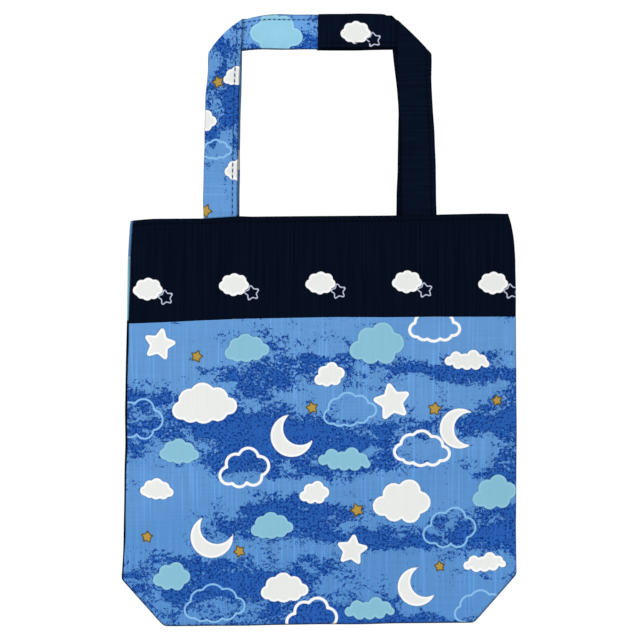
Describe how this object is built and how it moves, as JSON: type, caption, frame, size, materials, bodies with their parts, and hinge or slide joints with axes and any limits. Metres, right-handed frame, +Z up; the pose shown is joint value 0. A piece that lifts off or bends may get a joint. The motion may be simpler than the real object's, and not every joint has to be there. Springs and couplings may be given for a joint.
{
  "type": "tote bag",
  "caption": "Small cotton tote bag with a boxed bottom, a contrasting band at the mouth and two flat strap handles, lying flat on its back.",
  "frame": {"origin": "on the surface that the bag lies on, under the middle of the whole bag with its handles laid out", "axes": "+X to the bag's right as seen from its front, +Y from the bottom towards the handles, +Z up off the surface, out of the bag's front"},
  "size_m": [0.3165, 0.4903, 0.0125],
  "materials": {
    "print_cloth": "matt slub cotton printed in two blues with white, pale blue and gold motifs",
    "navy_cloth": "matt slub cotton, dark navy, with small white motifs"
  },
  "bodies": {
    "root": {"front_panel": "print_cloth", "front_band": "navy_cloth", "back_panel": "navy_cloth", "back_band": "print_cloth", "front_handle_left": "print_cloth", "front_handle_right": "navy_cloth", "back_handle_left": "print_cloth", "back_handle_right": "navy_cloth"}
  },
  "joints": []
}
